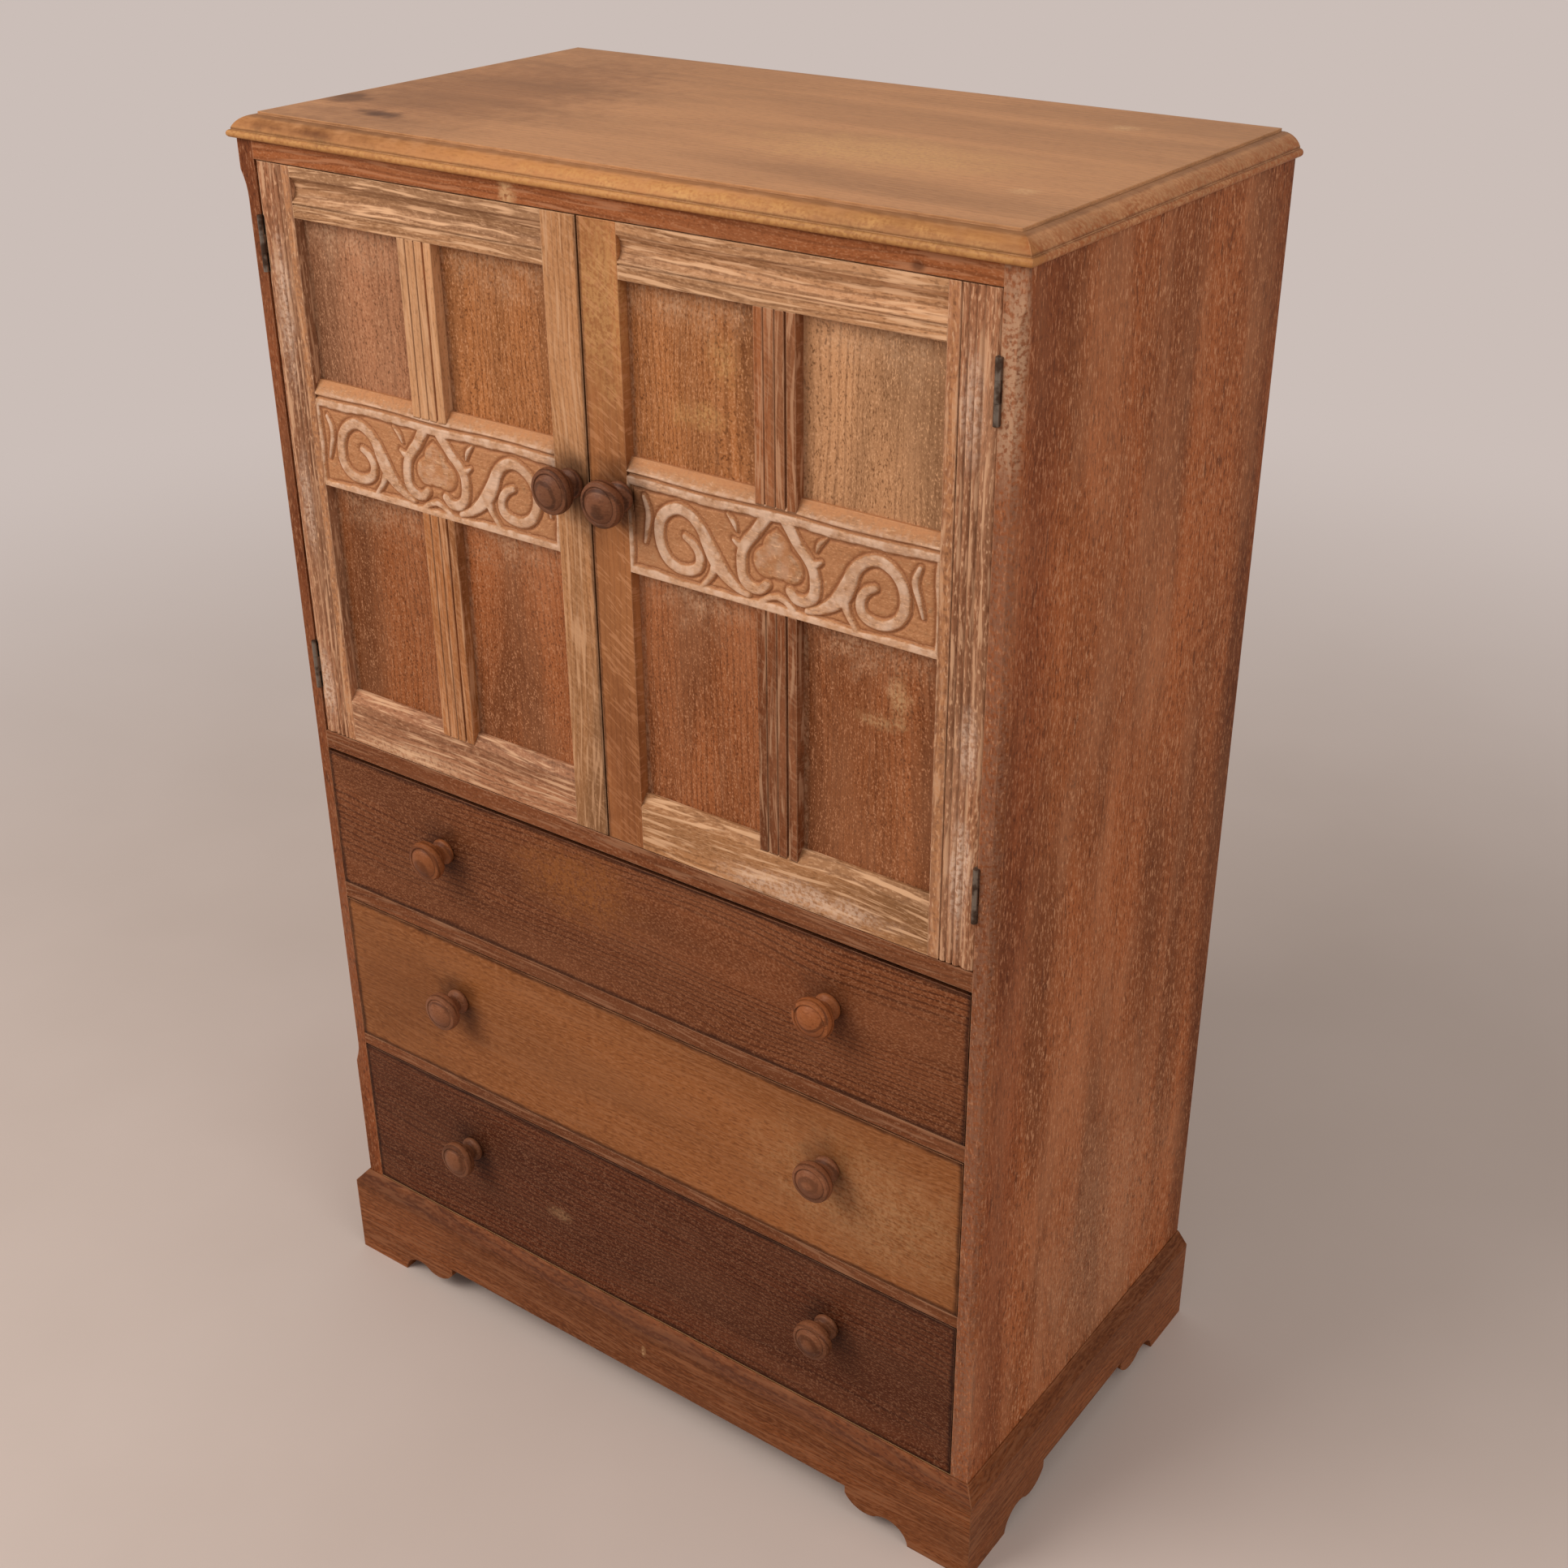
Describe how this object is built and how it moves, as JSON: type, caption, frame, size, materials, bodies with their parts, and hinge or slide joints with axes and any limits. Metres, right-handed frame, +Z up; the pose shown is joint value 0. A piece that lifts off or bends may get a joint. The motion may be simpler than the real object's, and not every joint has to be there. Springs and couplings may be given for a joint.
{
  "type": "linen press",
  "caption": "limed oak linen press with carved and panelled cupboard doors above graduated drawers with turned knobs, on a plinth cut to bracket feet",
  "frame": {"origin": "on the floor under the middle of the whole piece, knobs included", "axes": "+Z up, +X to the viewer's right when facing the doors, +Y from the front to the back"},
  "size_m": [0.786, 0.454, 1.22],
  "materials": {
    "oak_case": "limed oak, reddish brown, waxed",
    "oak_top": "limed oak, honey brown, worn",
    "oak_plinth": "limed oak, warm brown, waxed",
    "inner_wood": "plain unpolished oak",
    "back_board": "thin plain board",
    "hinge_metal": "dulled steel",
    "oak_door": "limed oak, pale honey, waxed",
    "oak_panel": "limed oak, orange brown",
    "oak_carving": "carved oak, limed",
    "knob_dark": "turned wood, dark walnut stain",
    "oak_drawer_top": "limed oak, dark red brown",
    "oak_drawer_middle": "limed oak, honey brown",
    "oak_drawer_bottom": "limed oak, darkest brown",
    "knob_brown": "turned wood, mid brown",
    "drawer_lining": "plain unpolished oak"
  },
  "bodies": {
    "carcase": {"side_left": "oak_case", "side_right": "oak_case", "top_rail": "oak_case", "cupboard_floor": "oak_case", "drawer_rail_upper": "oak_case", "drawer_rail_lower": "oak_case", "top_board": "oak_top", "plinth_front": "oak_plinth", "plinth_left": "oak_plinth", "plinth_right": "oak_plinth", "shelf": "inner_wood", "bottom_rail": "inner_wood", "drawer_runners": "inner_wood", "back_panel": "back_board", "hinge_case_leaves": "hinge_metal"},
    "left_door": {"left_hinge_stile": "oak_door", "left_meeting_stile": "oak_door", "left_top_rail": "oak_door", "left_bottom_rail": "oak_door", "left_upper_muntin": "oak_door", "left_lower_muntin": "oak_door", "left_panel_upper_outer": "oak_panel", "left_panel_upper_inner": "oak_panel", "left_panel_lower_outer": "oak_panel", "left_panel_lower_inner": "oak_panel", "left_frieze_rail": "oak_carving", "left_knob": "knob_dark", "left_hinge_leaves": "hinge_metal"},
    "right_door": {"right_hinge_stile": "oak_door", "right_meeting_stile": "oak_door", "right_top_rail": "oak_door", "right_bottom_rail": "oak_door", "right_upper_muntin": "oak_door", "right_lower_muntin": "oak_door", "right_panel_upper_outer": "oak_panel", "right_panel_upper_inner": "oak_panel", "right_panel_lower_outer": "oak_panel", "right_panel_lower_inner": "oak_panel", "right_frieze_rail": "oak_carving", "right_knob": "knob_dark", "right_hinge_leaves": "hinge_metal"},
    "top_drawer": {"drawer_top_front": "oak_drawer_top", "drawer_top_side_left": "drawer_lining", "drawer_top_side_right": "drawer_lining", "drawer_top_back": "drawer_lining", "drawer_top_bottom": "drawer_lining", "drawer_top_knobs": "knob_brown"},
    "middle_drawer": {"drawer_middle_front": "oak_drawer_middle", "drawer_middle_side_left": "drawer_lining", "drawer_middle_side_right": "drawer_lining", "drawer_middle_back": "drawer_lining", "drawer_middle_bottom": "drawer_lining", "drawer_middle_knobs": "knob_brown"},
    "bottom_drawer": {"drawer_bottom_front": "oak_drawer_bottom", "drawer_bottom_side_left": "drawer_lining", "drawer_bottom_side_right": "drawer_lining", "drawer_bottom_back": "drawer_lining", "drawer_bottom_bottom": "drawer_lining", "drawer_bottom_knobs": "knob_brown"}
  },
  "joints": [
    {"name": "left_door_hinge", "type": "hinge", "parent": "carcase", "child": "left_door", "pos_m": [-0.3625, -0.1945, 0.916], "axis": [0, 0, -1], "range_deg": [0, 165]},
    {"name": "right_door_hinge", "type": "hinge", "parent": "carcase", "child": "right_door", "pos_m": [0.3625, -0.1945, 0.916], "axis": [0, 0, 1], "range_deg": [0, 165]},
    {"name": "top_drawer_slide", "type": "slide", "parent": "carcase", "child": "top_drawer", "axis": [0, -1, 0], "range_m": [0, 0.3]},
    {"name": "middle_drawer_slide", "type": "slide", "parent": "carcase", "child": "middle_drawer", "axis": [0, -1, 0], "range_m": [0, 0.3]},
    {"name": "bottom_drawer_slide", "type": "slide", "parent": "carcase", "child": "bottom_drawer", "axis": [0, -1, 0], "range_m": [0, 0.3]}
  ]
}
